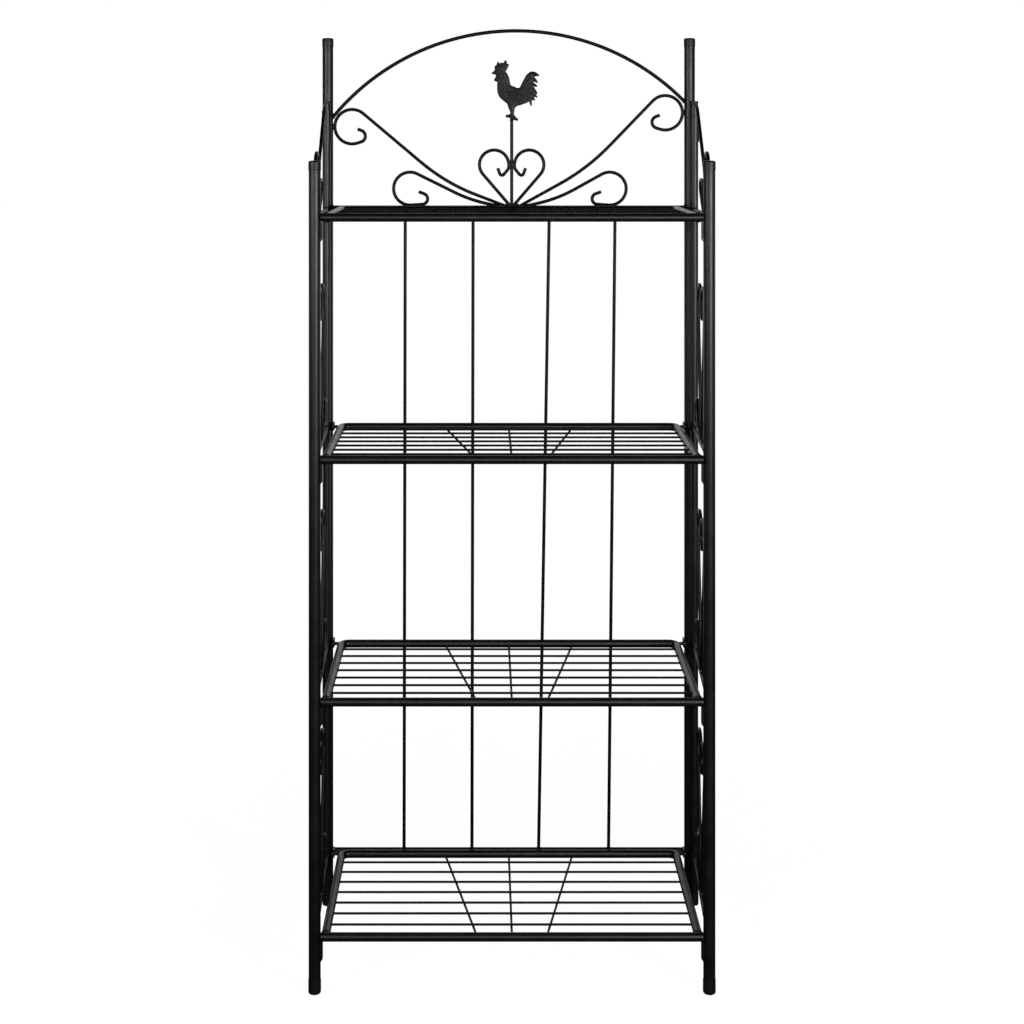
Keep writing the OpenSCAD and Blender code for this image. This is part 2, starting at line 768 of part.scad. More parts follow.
module shelf_side_rails(n) {
    color(satin_black)
        difference() {
            side_rails(n, rail_d);
            side_rails(n, rail_bore, 1);
            front_rail(n, rail_d);
        }
}

// Long wires from side to side with three wires under them that fan out towards the back
module shelf_wires(n) {
    lift = (wire_d - wire_sink) / 2;
    pitch = shelf_depth / (wire_count + 1);
    color(satin_black)
        difference() {
            translate([0, -post_y, levels[n - 1]]) {
                for (i = [1:wire_count])
                    translate([-side_rail_x, i * pitch, lift])
                        rotate([0, 90, 0])
                            cylinder(d = wire_d, h = 2 * side_rail_x, $fn = wire_fn);
                for (side = [-1, 0, 1])
                    translate([0, 0, -lift])
                        wire_straight([side * fan_front, 0], [side * fan_back, shelf_depth], wire_d);
            }
            front_rail(n, rail_d);
            back_rail(n, rail_d);
            side_rails(n, rail_d);
        }
}

// The pins stand out of the back corners and turn in the ears
module shelf_pivot_pins(n) {
    color(worn_black)
        difference() {
            for (side = [-1, 1])
                across(side > 0 ? side_rail_x - corner_r : -pin_end_x,
                       side > 0 ? pin_end_x : corner_r - side_rail_x, pivot_y, levels[n - 1], pin_d);
            back_rail(n, rail_d);
        }
}

module shelf_1_front_rail() { shelf_front_rail(1); }
module shelf_1_back_rail() { shelf_back_rail(1); }
module shelf_1_side_rails() { shelf_side_rails(1); }
module shelf_1_wires() { shelf_wires(1); }
module shelf_1_pivot_pins() { shelf_pivot_pins(1); }
module shelf_2_front_rail() { shelf_front_rail(2); }
module shelf_2_back_rail() { shelf_back_rail(2); }
module shelf_2_side_rails() { shelf_side_rails(2); }
module shelf_2_wires() { shelf_wires(2); }
module shelf_2_pivot_pins() { shelf_pivot_pins(2); }
module shelf_3_front_rail() { shelf_front_rail(3); }
module shelf_3_back_rail() { shelf_back_rail(3); }
module shelf_3_side_rails() { shelf_side_rails(3); }
module shelf_3_wires() { shelf_wires(3); }
module shelf_3_pivot_pins() { shelf_pivot_pins(3); }
module shelf_4_front_rail() { shelf_front_rail(4); }
module shelf_4_back_rail() { shelf_back_rail(4); }
module shelf_4_side_rails() { shelf_side_rails(4); }
module shelf_4_wires() { shelf_wires(4); }
module shelf_4_pivot_pins() { shelf_pivot_pins(4); }

back_post_left();
back_post_right();
back_post_caps();
back_post_feet();
top_bar();
bottom_bar();
back_rods();
crest_arch();
long_scroll_left();
long_scroll_right();
low_scroll_left();
low_scroll_right();
crest_heart();
crest_stem();
rooster();
hinge_sleeves();
shelf_pivot_ears();
left_front_post();
left_rear_stile();
left_post_caps();
left_post_feet();
left_crossbars();
left_top_scroll();
left_top_leaf();
left_hearts();
left_low_scrolls();
left_shelf_brackets();
right_front_post();
right_rear_stile();
right_post_caps();
right_post_feet();
right_crossbars();
right_top_scroll();
right_top_leaf();
right_hearts();
right_low_scrolls();
right_shelf_brackets();
shelf_1_front_rail();
shelf_1_back_rail();
shelf_1_side_rails();
shelf_1_wires();
shelf_1_pivot_pins();
shelf_2_front_rail();
shelf_2_back_rail();
shelf_2_side_rails();
shelf_2_wires();
shelf_2_pivot_pins();
shelf_3_front_rail();
shelf_3_back_rail();
shelf_3_side_rails();
shelf_3_wires();
shelf_3_pivot_pins();
shelf_4_front_rail();
shelf_4_back_rail();
shelf_4_side_rails();
shelf_4_wires();
shelf_4_pivot_pins();
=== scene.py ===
# Folding plant rack in black powder-coated steel. Metres, +Z up, the front towards -Y.
import json
import math

import bmesh
import bpy
from mathutils import Matrix, Vector

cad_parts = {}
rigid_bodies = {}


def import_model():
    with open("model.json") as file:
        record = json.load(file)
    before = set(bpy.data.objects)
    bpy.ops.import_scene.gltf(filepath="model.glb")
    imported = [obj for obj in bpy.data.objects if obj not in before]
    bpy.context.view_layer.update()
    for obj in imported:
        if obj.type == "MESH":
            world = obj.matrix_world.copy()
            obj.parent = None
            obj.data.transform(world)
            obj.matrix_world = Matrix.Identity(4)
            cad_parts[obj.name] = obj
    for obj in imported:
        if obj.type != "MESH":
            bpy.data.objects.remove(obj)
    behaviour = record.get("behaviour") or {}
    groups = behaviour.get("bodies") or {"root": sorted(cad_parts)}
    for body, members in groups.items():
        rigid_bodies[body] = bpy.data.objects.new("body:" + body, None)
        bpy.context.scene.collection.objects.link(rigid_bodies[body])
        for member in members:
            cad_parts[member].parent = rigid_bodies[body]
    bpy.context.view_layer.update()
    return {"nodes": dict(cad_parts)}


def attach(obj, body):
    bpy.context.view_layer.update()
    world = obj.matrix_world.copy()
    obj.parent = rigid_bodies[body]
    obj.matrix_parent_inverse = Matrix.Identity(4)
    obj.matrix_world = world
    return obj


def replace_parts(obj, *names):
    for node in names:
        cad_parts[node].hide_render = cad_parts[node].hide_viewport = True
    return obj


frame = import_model()
print("frame loaded:", len(frame["nodes"]), "nodes")

mm = 0.001
closeBy = 1e-5  # how near a face or an edge has to be to be picked

# Camera, at the photograph's place: level with the crest, a little left of the middle
photoView = {"place": (-0.045, -2.5335, 1.263), "lens": 56.32, "shiftX": 0.0295, "shiftY": -0.3584}
bpy.ops.object.camera_add(location=photoView["place"], rotation=(math.pi / 2, 0, 0))
photoCamera = bpy.context.object
photoCamera.name = "photoCamera"
photoCamera.data.lens = photoView["lens"]
photoCamera.data.shift_x = photoView["shiftX"]
photoCamera.data.shift_y = photoView["shiftY"]
bpy.context.scene.camera = photoCamera
bpy.context.scene.view_settings.view_transform = "Standard"

sides = {"left": -1, "right": 1}
bothWays = (-1, 1)
sideways, rearwards, upwards = (1, 0, 0), (0, 1, 0), (0, 0, 1)
creaseFrom = {"moulded": 35, "plate": 60, "ring": 60, "bead": 80}  # degrees; sharper edges stay hard


def boxOf(name):  # the lowest and the highest corner of a CAD node
    corners = frame["nodes"][name].bound_box
    return Vector(corners[0]), Vector(corners[6])


def middleOf(name):
    low, high = boxOf(name)
    return (low + high) / 2


def footOf(name):  # where a tube's middle line meets the floor
    middle = middleOf(name)
    return Vector((middle.x, middle.y, 0))


def topOf(name):
    return boxOf(name)[1].z


# Where the CAD has things. A tube ends a lid's thickness below the top of its cap.
lidThick = 2 * mm
postLow, postHigh = boxOf("back_post_right")
railLow, railHigh = boxOf("shelf_1_side_rails")
sleeveLow, sleeveHigh = boxOf("hinge_sleeves")
rack = {
    "backPosts": {side: footOf("back_post_" + side) for side in sides},
    "frontPosts": {side: footOf(side + "_front_post") for side in sides},
    "stiles": {side: footOf(side + "_rear_stile") for side in sides},
    "postRadius": (postHigh.x - postLow.x) / 2, "innerX": postLow.x, "backY": footOf("back_post_right").y,
    "stileTop": topOf("left_rear_stile") + lidThick, "frontTop": topOf("left_front_post") + lidThick,
    "backTop": topOf("back_post_left") + lidThick, "sleeveZ": (sleeveLow.z, sleeveHigh.z),
    "levels": [middleOf("shelf_%d_front_rail" % n).z for n in range(1, 5)],
    "frontY": middleOf("shelf_1_front_rail").y, "pivotY": middleOf("shelf_1_pivot_pins").y,
    "sideRailX": railHigh.x - (railHigh.z - railLow.z) / 2,
    "barZ": [middleOf(bar).z for bar in ("top_bar", "bottom_bar")],
    "rodTop": boxOf("top_bar")[0].z, "rodFoot": topOf("bottom_bar"),
    "crestMid": middleOf("crest_stem").x, "crestFoot": topOf("top_bar"), "stemTop": topOf("crest_stem"),
}


def deselectAll():
    bpy.ops.object.select_all(action="DESELECT")


def openMesh(piece):
    deselectAll()
    piece.select_set(True)
    bpy.context.view_layer.objects.active = piece
    bpy.ops.object.mode_set(mode="EDIT")
    bpy.ops.mesh.select_mode(type="FACE")
    bpy.ops.mesh.select_all(action="DESELECT")


def closeMesh():
    bpy.ops.object.mode_set(mode="OBJECT")


def pickFaces(piece, test):  # test gets a face's middle and normal
    shape = bmesh.from_edit_mesh(piece.data)
    for face in shape.faces:
        face.select_set(False)
    for face in shape.faces:
        if test(face.calc_center_median(), face.normal):
            face.select_set(True)
    bmesh.update_edit_mesh(piece.data)


def pickEdges(piece, test):  # test gets an edge's two ends
    bpy.ops.mesh.select_mode(type="EDGE")
    shape = bmesh.from_edit_mesh(piece.data)
    for edge in shape.edges:
        edge.select_set(False)
    for edge in shape.edges:
        if test(edge.verts[0].co, edge.verts[1].co):
            edge.select_set(True)
    bmesh.update_edit_mesh(piece.data)


def settle(piece):  # the object goes to the origin and its place into its mesh
    deselectAll()
    piece.select_set(True)
    bpy.context.view_layer.objects.active = piece
    bpy.ops.object.transform_apply(location=True, rotation=True, scale=True)


def copyOf(piece, matrix):
    twin = piece.copy()
    twin.data = piece.data.copy()
    bpy.context.scene.collection.objects.link(twin)
    twin.data.transform(matrix)
    return twin


def joined(pieces, name):
    deselectAll()
    for piece in pieces:
        piece.select_set(True)
    bpy.context.view_layer.objects.active = pieces[0]
    if len(pieces) > 1:
        bpy.ops.object.join()
    whole = bpy.context.view_layer.objects.active
    whole.name = name
    whole.data.name = name
    return whole


def smoothed(piece, angle):
    deselectAll()
    piece.select_set(True)
    bpy.context.view_layer.objects.active = piece
    bpy.ops.object.shade_smooth_by_angle(angle=math.radians(angle))


def discard(*pieces):
    for piece in pieces:
        bpy.data.objects.remove(piece)


# Materials. Each coat is read from Object coordinates, in metres.
def newMaterial(name):
    material = bpy.data.materials.new(name)
    material.use_nodes = True
    tree = material.node_tree
    shader = tree.nodes["Principled BSDF"]
    place = tree.nodes.new("ShaderNodeTexCoord")
    return material, tree, shader, place.outputs["Object"]


def noiseNode(tree, place, scale, detail=2.0, rough=0.5):
    noise = tree.nodes.new("ShaderNodeTexNoise")
    noise.inputs["Scale"].default_value = scale
    noise.inputs["Detail"].default_value = detail
    noise.inputs["Roughness"].default_value = rough
    tree.links.new(place, noise.inputs["Vector"])
    return noise.outputs["Fac"]


def rangeNode(tree, value, low, high, newLow, newHigh):
    node = tree.nodes.new("ShaderNodeMapRange")
    for socket, number in zip(("From Min", "From Max", "To Min", "To Max"), (low, high, newLow, newHigh)):
        node.inputs[socket].default_value = number
    tree.links.new(value, node.inputs["Value"])
    return node.outputs["Result"]


def mathNode(tree, operation, first, second):
    node = tree.nodes.new("ShaderNodeMath")
    node.operation = operation
    tree.links.new(first, node.inputs[0])
    tree.links.new(second, node.inputs[1])
    return node.outputs[0]


def mixNode(tree, share, first, second):
    node = tree.nodes.new("ShaderNodeMix")
    node.data_type = "RGBA"
    for socket, colour in ((node.inputs[6], first), (node.inputs[7], second)):
        if isinstance(colour, tuple):
            socket.default_value = (*colour, 1)
        else:
            tree.links.new(colour, socket)
    tree.links.new(share, node.inputs[0])
    return node.outputs[2]


def bumpNode(tree, height, strength, distance, under=None):
    node = tree.nodes.new("ShaderNodeBump")
    node.inputs["Strength"].default_value = strength
    node.inputs["Distance"].default_value = distance
    tree.links.new(height, node.inputs["Height"])
    if under is not None:
        tree.links.new(under, node.inputs["Normal"])
    return node.outputs["Normal"]


# What all coats share: each noise's detail and roughness, the stretch of it that shows, and the bumps' depths
coatWeave = {
    "cloud": (4.0, 0.6), "grain": (3.0, 0.55), "peel": (1.0, 0.4), "dust": (5.0, 0.7),
    "dustFrom": (0.62, 0.80), "bodyFrom": (0.35, 0.65), "roughFrom": (0.3, 0.7),
    "grainDeep": 0.02 * mm, "peelDeep": 0.12 * mm,
}


def coatMaterial(name, look):
    material, tree, shader, place = newMaterial(name)
    weave = coatWeave
    cloudy = noiseNode(tree, place, look["cloudScale"], *weave["cloud"])
    grain = noiseNode(tree, place, look["grainScale"], *weave["grain"])
    peel = noiseNode(tree, place, look["peelScale"], *weave["peel"])
    specks = noiseNode(tree, place, look["dustScale"], *weave["dust"])
    dust = rangeNode(tree, specks, *weave["dustFrom"], 0.0, look["dust"])
    body = mixNode(tree, rangeNode(tree, cloudy, *weave["bodyFrom"], 0.0, 1.0), look["deep"], look["lifted"])
    tree.links.new(mixNode(tree, dust, body, look["dustColour"]), shader.inputs["Base Color"])
    rough = rangeNode(tree, cloudy, *weave["roughFrom"], look["smooth"], look["dull"])
    tree.links.new(rough, shader.inputs["Roughness"])
    fine = bumpNode(tree, grain, look["grain"], weave["grainDeep"])
    tree.links.new(bumpNode(tree, peel, look["peel"], weave["peelDeep"], fine), shader.inputs["Normal"])
    shader.inputs["Specular IOR Level"].default_value = look["gloss"]
    return material


coats = {
    "tube": {
        "deep": (0.0014, 0.0014, 0.0016), "lifted": (0.0030, 0.0030, 0.0032),
        "dustColour": (0.02, 0.02, 0.0195), "dust": 0.25, "dustScale": 260,
        "cloudScale": 34, "grainScale": 5200, "peelScale": 620,
        "grain": 0.35, "peel": 0.22, "smooth": 0.34, "dull": 0.44, "gloss": 0.5,
    },
    "wire": {
        "deep": (0.0012, 0.0012, 0.0014), "lifted": (0.0026, 0.0026, 0.0028),
        "dustColour": (0.018, 0.018, 0.0175), "dust": 0.2, "dustScale": 420,
        "cloudScale": 60, "grainScale": 5200, "peelScale": 900,
        "grain": 0.35, "peel": 0.25, "smooth": 0.36, "dull": 0.48, "gloss": 0.2,
    },
    "weld": {
        "deep": (0.0012, 0.0012, 0.0014), "lifted": (0.0034, 0.0034, 0.0036),
        "dustColour": (0.02, 0.02, 0.0195), "dust": 0.3, "dustScale": 700,
        "cloudScale": 300, "grainScale": 5200, "peelScale": 1500,
        "grain": 0.4, "peel": 0.7, "smooth": 0.32, "dull": 0.46, "gloss": 0.25,
    },
}
tubeCoat = coatMaterial("tubeCoat", coats["tube"])
wireCoat = coatMaterial("wireCoat", coats["wire"])
weldCoat = coatMaterial("weldCoat", coats["weld"])

# Moulded plastic of the caps and feet; the feet are scuffed where they stand
endPlasticLook = {
    "fresh": (0.0026, 0.0026, 0.0028), "scuffed": (0.02, 0.02, 0.0195), "scuffTop": 4 * mm,
    "grainScale": 3800, "grainNoise": (2.0, 0.5), "grain": 0.4, "grainDeep": 0.03 * mm,
    "scuffScale": 500, "scuffNoise": (6.0, 0.75), "scuffFrom": (0.4, 0.7),
    "smooth": 0.40, "dull": 0.55, "roughFrom": (0.3, 0.7),
}


def plasticMaterial(name, look):
    material, tree, shader, place = newMaterial(name)
    grain = noiseNode(tree, place, look["grainScale"], *look["grainNoise"])
    scratches = noiseNode(tree, place, look["scuffScale"], *look["scuffNoise"])
    split = tree.nodes.new("ShaderNodeSeparateXYZ")
    tree.links.new(place, split.inputs[0])
    low = rangeNode(tree, split.outputs["Z"], 0.0, look["scuffTop"], 1.0, 0.0)
    scuffAndSheen = mathNode(tree, "MULTIPLY", low, rangeNode(tree, scratches, *look["scuffFrom"], 0.0, 1.0))
    tree.links.new(mixNode(tree, scuffAndSheen, look["fresh"], look["scuffed"]), shader.inputs["Base Color"])
    rough = rangeNode(tree, scratches, *look["roughFrom"], look["smooth"], look["dull"])
    tree.links.new(rough, shader.inputs["Roughness"])
    tree.links.new(bumpNode(tree, grain, look["grain"], look["grainDeep"]), shader.inputs["Normal"])
    return material


endPlastic = plasticMaterial("endPlastic", endPlasticLook)

# Pivot pins, painted, with steel where the paint has worn
pinLook = {
    "paint": (0.004, 0.004, 0.0042), "steel": (0.10, 0.098, 0.095), "wearScale": 900, "wearNoise": (4.0, 0.6),
    "wornFrom": (0.52, 0.62), "metal": 0.8, "paintRough": 0.42, "steelRough": 0.34,
    "wear": 0.3, "wearDeep": 0.03 * mm,
}


def pinMaterial(name, look):
    material, tree, shader, place = newMaterial(name)
    wear = noiseNode(tree, place, look["wearScale"], *look["wearNoise"])
    worn = rangeNode(tree, wear, *look["wornFrom"], 0.0, 1.0)
    tree.links.new(mixNode(tree, worn, look["paint"], look["steel"]), shader.inputs["Base Color"])
    tree.links.new(rangeNode(tree, worn, 0.0, 1.0, 0.0, look["metal"]), shader.inputs["Metallic"])
    rough = rangeNode(tree, worn, 0.0, 1.0, look["paintRough"], look["steelRough"])
    tree.links.new(rough, shader.inputs["Roughness"])
    tree.links.new(bumpNode(tree, worn, look["wear"], look["wearDeep"]), shader.inputs["Normal"])
    return material


pivotSteel = pinMaterial("pivotSteel", pinLook)

# The rooster's coat has a painted highlight: a lighter colour where its plate stands out most, in patches
# broken up by noise
ornamentLook = {
    "hollow": (0.0016, 0.0016, 0.0018), "raised": (0.007, 0.007, 0.0072), "gloss": 0.28,
    "highFrom": (0.3, 1.0), "highlightPatchFrom": (0.4, 0.65), "highlightPatchLeast": 0.2,
    "lumpScale": 260, "lumpNoise": (3.0, 0.6), "lump": 0.5, "lumpDeep": 0.2 * mm,
    "grainScale": 2600, "grainNoise": (2.0, 0.5), "grain": 0.4, "grainDeep": 0.03 * mm,
    "smooth": 0.34, "dull": 0.50, "roughFrom": (0.3, 0.7),
}


def ornamentMaterial(name, look):
    material, tree, shader, place = newMaterial(name)
    relief = tree.nodes.new("ShaderNodeAttribute")
    relief.attribute_name = "relief"
    lumps = noiseNode(tree, place, look["lumpScale"], *look["lumpNoise"])
    high = rangeNode(tree, relief.outputs["Fac"], *look["highFrom"], 0.0, 1.0)
    patches = rangeNode(tree, lumps, *look["highlightPatchFrom"], look["highlightPatchLeast"], 1.0)
    # painted highlight: the raised relief gets the lighter colour, patchy by noise
    scuffAndSheen = mathNode(tree, "MULTIPLY", high, patches)
    tree.links.new(mixNode(tree, scuffAndSheen, look["hollow"], look["raised"]), shader.inputs["Base Color"])
    rough = rangeNode(tree, lumps, *look["roughFrom"], look["smooth"], look["dull"])
    tree.links.new(rough, shader.inputs["Roughness"])
    grain = noiseNode(tree, place, look["grainScale"], *look["grainNoise"])
    fine = bumpNode(tree, grain, look["grain"], look["grainDeep"])
    tree.links.new(bumpNode(tree, lumps, look["lump"], look["lumpDeep"], fine), shader.inputs["Normal"])
    shader.inputs["Specular IOR Level"].default_value = look["gloss"]
    return material


ornamentCoat = ornamentMaterial("ornamentCoat", ornamentLook)

# Words in the names of the nodes that are made of wire
wireWords = ("scroll", "heart", "leaf", "arch", "stem", "rods", "wires", "crossbars")
for name, node in frame["nodes"].items():
    node.data.materials.clear()
    if "pivot_pins" in name:
        node.data.materials.append(pivotSteel)
    elif "caps" in name or "feet" in name:
        node.data.materials.append(endPlastic)
    elif name == "rooster":
        node.data.materials.append(ornamentCoat)
    elif any(word in name for word in wireWords):
        node.data.materials.append(wireCoat)
    else:
        node.data.materials.append(tubeCoat)
print("coats on the CAD nodes")


def finished(piece, body, material):
    piece.data.materials.clear()
    piece.data.materials.append(material)
    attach(piece, body)
    return piece


# How far down a groove's width each of its four edges is
grooveSteps = (0, 0.3, 0.7, 1)

# Moulded caps: a rounded lid over the tube's end with a groove above its lip. Each step of the dome has its
# width and its share of the height.
postCap = {
    "radius": 9.5 * mm, "height": 15 * mm, "edge": 2.6 * mm, "edgeSteps": 6,
    "dome": 0.5 * mm, "domeSteps": ((2.2 * mm, 0.7), (2.0 * mm, 0.3)), "lip": 1.3 * mm,
    "grooveWide": 0.7 * mm, "grooveDeep": 0.35 * mm, "wall": 0.5 * mm, "depth": 13 * mm, "sides": 56,
}


def facesUp(normal):
    return normal.z > 0.99


def facesDown(normal):
    return normal.z < -0.99


def facesOut(normal):
    return abs(normal.z) < 0.1


def pressGrooves(piece, starts, radius, size):  # four cuts each, then what is between the inner two goes in
    wide = size["grooveWide"]
    for start in starts:
        for step in grooveSteps:
            bpy.ops.mesh.select_all(action="SELECT")
            bpy.ops.mesh.bisect(plane_co=(0, 0, start + step * wide), plane_no=(0, 0, 1))
    bpy.ops.mesh.select_mode(type="FACE")
    pickFaces(piece, lambda middle, normal: facesOut(normal) and any(
        start + grooveSteps[1] * wide < middle.z < start + grooveSteps[2] * wide for start in starts))
    squeeze = 1 - size["grooveDeep"] / radius
    bpy.ops.transform.resize(value=(squeeze, squeeze, 1))


def capAtOrigin(size):  # its top at z = 0
    bpy.ops.mesh.primitive_cylinder_add(
        vertices=size["sides"], radius=size["radius"], depth=size["height"] - size["dome"],
        location=(0, 0, -(size["height"] + size["dome"]) / 2),
    )
    cap = bpy.context.object
    settle(cap)
    top, foot = -size["dome"], -size["height"]
    openMesh(cap)
    pickEdges(cap, lambda a, b: a.z > top - closeBy and b.z > top - closeBy)
    bpy.ops.mesh.bevel(offset=size["edge"], segments=size["edgeSteps"], profile=0.5, affect="EDGES")
    bpy.ops.mesh.select_mode(type="FACE")
    pickFaces(cap, lambda middle, normal: facesUp(normal) and middle.z > top - closeBy)
    for width, share in size["domeSteps"]:
        bpy.ops.mesh.inset(thickness=width)
        bpy.ops.transform.translate(value=(0, 0, size["dome"] * share))
    pressGrooves(cap, [foot + size["lip"]], size["radius"], size)
    pickFaces(cap, lambda middle, normal: facesDown(normal) and middle.z < foot + closeBy)
    bpy.ops.mesh.inset(thickness=size["wall"])
    bpy.ops.mesh.extrude_region_move(TRANSFORM_OT_translate={"value": (0, 0, size["depth"])})
    closeMesh()
    return cap


# The stile's plug: a disc pressed into the tube, with a rounded rim and a dimple
stilePlug = {
    "radius": 6.35 * mm, "height": 2 * mm, "edge": 0.9 * mm, "edgeSteps": 4, "sides": 48,
    "dimple": 2.2 * mm, "dimpleSlope": 0.5 * mm, "dimpleDeep": 0.4 * mm,
}


def plugAtOrigin(size):
    bpy.ops.mesh.primitive_cylinder_add(
        vertices=size["sides"], radius=size["radius"], depth=size["height"],
        location=(0, 0, -size["height"] / 2),
    )
    plug = bpy.context.object
    settle(plug)
    openMesh(plug)
    pickEdges(plug, lambda a, b: a.z > -closeBy and b.z > -closeBy)
    bpy.ops.mesh.bevel(offset=size["edge"], segments=size["edgeSteps"], profile=0.5, affect="EDGES")
    bpy.ops.mesh.select_mode(type="FACE")
    pickFaces(plug, lambda middle, normal: facesUp(normal))
    bpy.ops.mesh.inset(thickness=size["radius"] - size["edge"] - size["dimple"])
    bpy.ops.mesh.inset(thickness=size["dimpleSlope"], depth=-size["dimpleDeep"])
    closeMesh()
    return plug


# Moulded feet: a sleeve over the tube's end with a rounded, hollowed sole and two fine grooves
postFoot = {
    "height": 20 * mm, "edge": 2.5 * mm, "edgeSteps": 5, "grooves": (15.5 * mm, 17.5 * mm),
    "grooveWide": 0.6 * mm, "grooveDeep": 0.3 * mm, "sole": 2.2 * mm, "soleThick": 3.2 * mm,
    "hollow": 0.8 * mm, "hollowSlope": 0.5 * mm, "slip": 0.05 * mm, "sides": 56,
    "thick": (9.5 * mm, 9 * mm), "thin": (6.85 * mm, 6.35 * mm),  # radius of the foot, and of its tube
}


def footAtOrigin(size, radius, tubeRadius):  # its sole at z = 0
    bpy.ops.mesh.primitive_cylinder_add(
        vertices=size["sides"], radius=radius, depth=size["height"], location=(0, 0, size["height"] / 2)
    )
    foot = bpy.context.object
    settle(foot)
    openMesh(foot)
    pickEdges(foot, lambda a, b: a.z < closeBy and b.z < closeBy)
    bpy.ops.mesh.bevel(offset=size["edge"], segments=size["edgeSteps"], profile=0.5, affect="EDGES")
    pressGrooves(foot, size["grooves"], radius, size)
    pickFaces(foot, lambda middle, normal: facesDown(normal) and middle.z < closeBy)
    bpy.ops.mesh.inset(thickness=size["sole"])
    bpy.ops.mesh.inset(thickness=size["hollowSlope"], depth=-size["hollow"])
    pickFaces(foot, lambda middle, normal: facesUp(normal) and middle.z > size["height"] - closeBy)
    bpy.ops.mesh.inset(thickness=radius - tubeRadius - size["slip"])
    inside = size["soleThick"] - size["height"]
    bpy.ops.mesh.extrude_region_move(TRANSFORM_OT_translate={"value": (0, 0, inside)})
    closeMesh()
    return foot


cap = capAtOrigin(postCap)
plug = plugAtOrigin(stilePlug)
thickFoot = footAtOrigin(postFoot, *postFoot["thick"])
thinFoot = footAtOrigin(postFoot, *postFoot["thin"])


def copyAt(piece, *place):
    return copyOf(piece, Matrix.Translation(place))


backPosts = [post.xy for post in rack["backPosts"].values()]
backCaps = joined([copyAt(cap, x, y, rack["backTop"]) for x, y in backPosts], "backPostCaps")
backFeet = joined([copyAt(thickFoot, x, y, 0) for x, y in backPosts], "backPostFeet")
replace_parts(finished(backCaps, "back_panel", endPlastic), "back_post_caps")
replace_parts(finished(backFeet, "back_panel", endPlastic), "back_post_feet")
for side in sides:
    front, stile = rack["frontPosts"][side].xy, rack["stiles"][side].xy
    tops = [copyAt(cap, *front, rack["frontTop"]), copyAt(plug, *stile, rack["stileTop"])]
    feet = [copyAt(thickFoot, *front, 0), copyAt(thinFoot, *stile, 0)]
    caps = finished(joined(tops, side + "PostCaps"), "side_panel_" + side, endPlastic)
    feet = finished(joined(feet, side + "PostFeet"), "side_panel_" + side, endPlastic)
    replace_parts(caps, side + "_post_caps")
    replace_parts(feet, side + "_post_feet")
for piece in [o for o in bpy.data.objects if o.name.endswith(("Caps", "Feet"))]:
    smoothed(piece, creaseFrom["moulded"])
discard(cap, plug, thickFoot, thinFoot)
print("caps and feet made")

